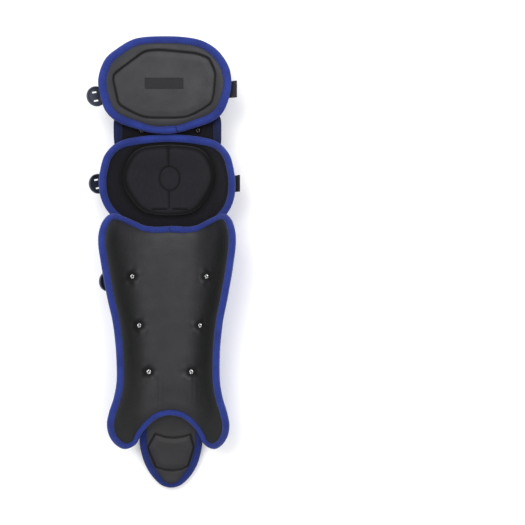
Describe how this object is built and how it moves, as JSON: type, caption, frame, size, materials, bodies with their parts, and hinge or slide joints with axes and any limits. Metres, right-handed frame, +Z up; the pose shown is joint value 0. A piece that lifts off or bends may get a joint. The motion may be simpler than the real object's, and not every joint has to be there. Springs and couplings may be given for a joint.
{
  "type": "catcher leg guard",
  "caption": "Leg guard with thigh, knee, shin and instep pads on curved shells, blue edge bindings, a knee cushion, linking straps and buckle discs.",
  "frame": {"origin": "middle of the guard's length and width, on the surface that it lies on", "axes": "+Z up out of the hollow that takes the leg, +Y from the instep to the thigh, -X to the outer side of the leg, where the buckle discs are"},
  "size_m": [0.2294, 0.689, 0.0844],
  "materials": {
    "leather": "charcoal synthetic leather with a fine grain, low sheen",
    "liner": "black brushed knit, matt",
    "binding": "royal blue ribbed edge binding with a stitched line",
    "shell": "royal blue moulded plastic, smooth",
    "webbing": "black woven webbing",
    "disc": "dark slate moulded plastic",
    "rivet": "bright nickel-plated steel"
  },
  "bodies": {
    "root": {"thigh_pad": "leather", "thigh_binding": "binding", "thigh_shell": "shell", "lame_pad": "liner", "lame_binding": "binding", "lame_shell": "shell", "knee_pad": "liner", "knee_cushion": "liner", "knee_binding": "binding", "knee_shell": "shell", "shin_pad": "leather", "shin_binding": "binding", "shin_shell": "shell", "shin_rivet_upper_left": "rivet", "shin_rivet_upper_right": "rivet", "shin_rivet_middle_left": "rivet", "shin_rivet_middle_right": "rivet", "shin_rivet_lower_left": "rivet", "shin_rivet_lower_right": "rivet", "instep_pad": "leather", "instep_binding": "binding", "instep_shell": "shell", "instep_rivet_left": "rivet", "instep_rivet_right": "rivet", "upper_strap_left": "webbing", "upper_strap_right": "webbing", "lower_strap_left": "webbing", "lower_strap_right": "webbing", "thigh_rivet_left": "rivet", "thigh_rivet_right": "rivet", "lame_rivet_left": "rivet", "lame_rivet_right": "rivet", "cap_upper_rivet_left": "rivet", "cap_upper_rivet_right": "rivet", "cap_lower_rivet_left": "rivet", "cap_lower_rivet_right": "rivet", "shin_strap_rivet_left": "rivet", "shin_strap_rivet_right": "rivet", "thigh_disc_webbing": "webbing", "thigh_disc": "disc", "thigh_disc_rivet": "rivet", "thigh_webbing_rivet": "rivet", "knee_disc_webbing": "webbing", "knee_disc": "disc", "knee_disc_rivet": "rivet", "knee_webbing_rivet": "rivet", "shin_disc_webbing": "webbing", "shin_disc": "disc", "shin_disc_rivet": "rivet", "thigh_loop": "webbing", "thigh_loop_rivet": "rivet", "knee_loop": "webbing", "knee_loop_rivet": "rivet"}
  },
  "joints": []
}
